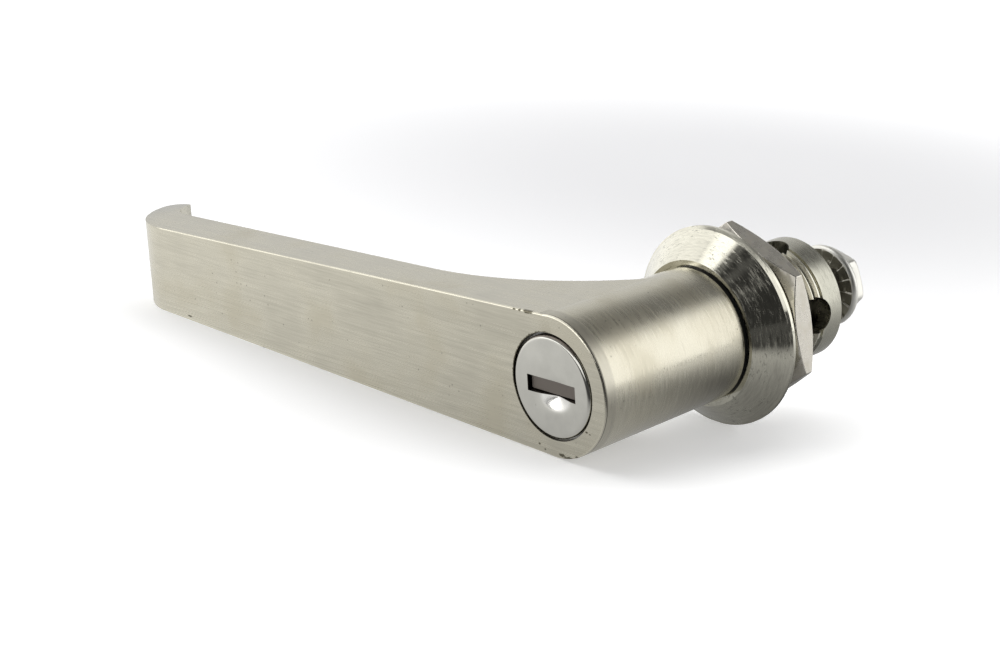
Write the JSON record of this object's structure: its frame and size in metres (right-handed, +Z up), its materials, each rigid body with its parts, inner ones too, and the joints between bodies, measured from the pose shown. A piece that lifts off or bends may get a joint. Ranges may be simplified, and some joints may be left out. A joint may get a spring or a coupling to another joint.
{
  "type": "lockable L-handle latch",
  "caption": "Lockable L-handle latch: flat grip with rolled tip, round lock barrel, cone rosette, threaded tube with panel nut, spindle with cam square and flange screw.",
  "frame": {"origin": "spindle axis, in the plane where the rosette seats on the door", "axes": "+Y along the spindle into the cabinet, grip towards -X at rest, +Z up"},
  "size_m": [0.1392, 0.0727, 0.0358],
  "materials": {
    "handle_steel": "brushed along the grip",
    "turned_steel": "fine turned",
    "nut_steel": "satin",
    "seal_rubber": "matte",
    "washer_black": "matte",
    "bush_plastic": "matte",
    "spindle_steel": "fine turned",
    "zinc_steel": "zinc plated",
    "screw_steel": "bright",
    "cap_nickel": "polished",
    "lock_brass": "machined",
    "lock_zinc": "die cast",
    "spring_steel": "drawn wire",
    "shutter_steel": "matte"
  },
  "bodies": {
    "body": {"housing": "turned_steel", "hex_nut": "nut_steel", "rosette_seal": "seal_rubber", "front_thrust_washer": "washer_black", "bearing_bush": "bush_plastic", "rear_thrust_washer": "bush_plastic", "stop_screw": "zinc_steel"},
    "handle_body": {"handle": "handle_steel", "spindle": "spindle_steel", "spindle_o_ring": "seal_rubber", "spindle_clamp_screw": "zinc_steel", "clamp_washer": "zinc_steel", "cam_screw": "screw_steel", "lock_shell": "lock_zinc", "lock_set_screw": "zinc_steel"},
    "plug_body": {"lock_cap": "cap_nickel", "lock_plug": "lock_brass", "wafers": "lock_brass", "wafer_springs": "spring_steel", "shutter_pin": "spring_steel", "shutter_spring": "spring_steel", "plug_clip": "spring_steel", "lock_driver": "lock_zinc", "driver_screw": "zinc_steel"},
    "shutter_body": {"shutter": "shutter_steel"},
    "pin_body": {"locking_pin": "zinc_steel", "locking_pin_spring": "spring_steel"}
  },
  "joints": [
    {"name": "handle_turn", "type": "hinge", "parent": "body", "child": "handle_body", "pos_m": [0, 0, 0], "axis": [0, 1, 0], "range_deg": [0, 90]},
    {"name": "plug_turn", "type": "hinge", "parent": "handle_body", "child": "plug_body", "pos_m": [0, 0, 0], "axis": [0, 1, 0], "range_deg": [0, 90]},
    {"name": "shutter_flap", "type": "hinge", "parent": "plug_body", "child": "shutter_body", "pos_m": [0, -0.0382, 0.0025], "axis": [1, 0, 0], "range_deg": [0, 75], "stiffness_Nm_per_rad": 0.0002},
    {"name": "pin_slide", "type": "slide", "parent": "handle_body", "child": "pin_body", "axis": [0, 1, 0], "range_m": [0, 0.0022], "deforming": ["locking_pin_spring"]}
  ],
  "couplings": [
    {"joint": "pin_slide", "follows": "plug_turn", "m_per_rad": 0.0014006}
  ]
}
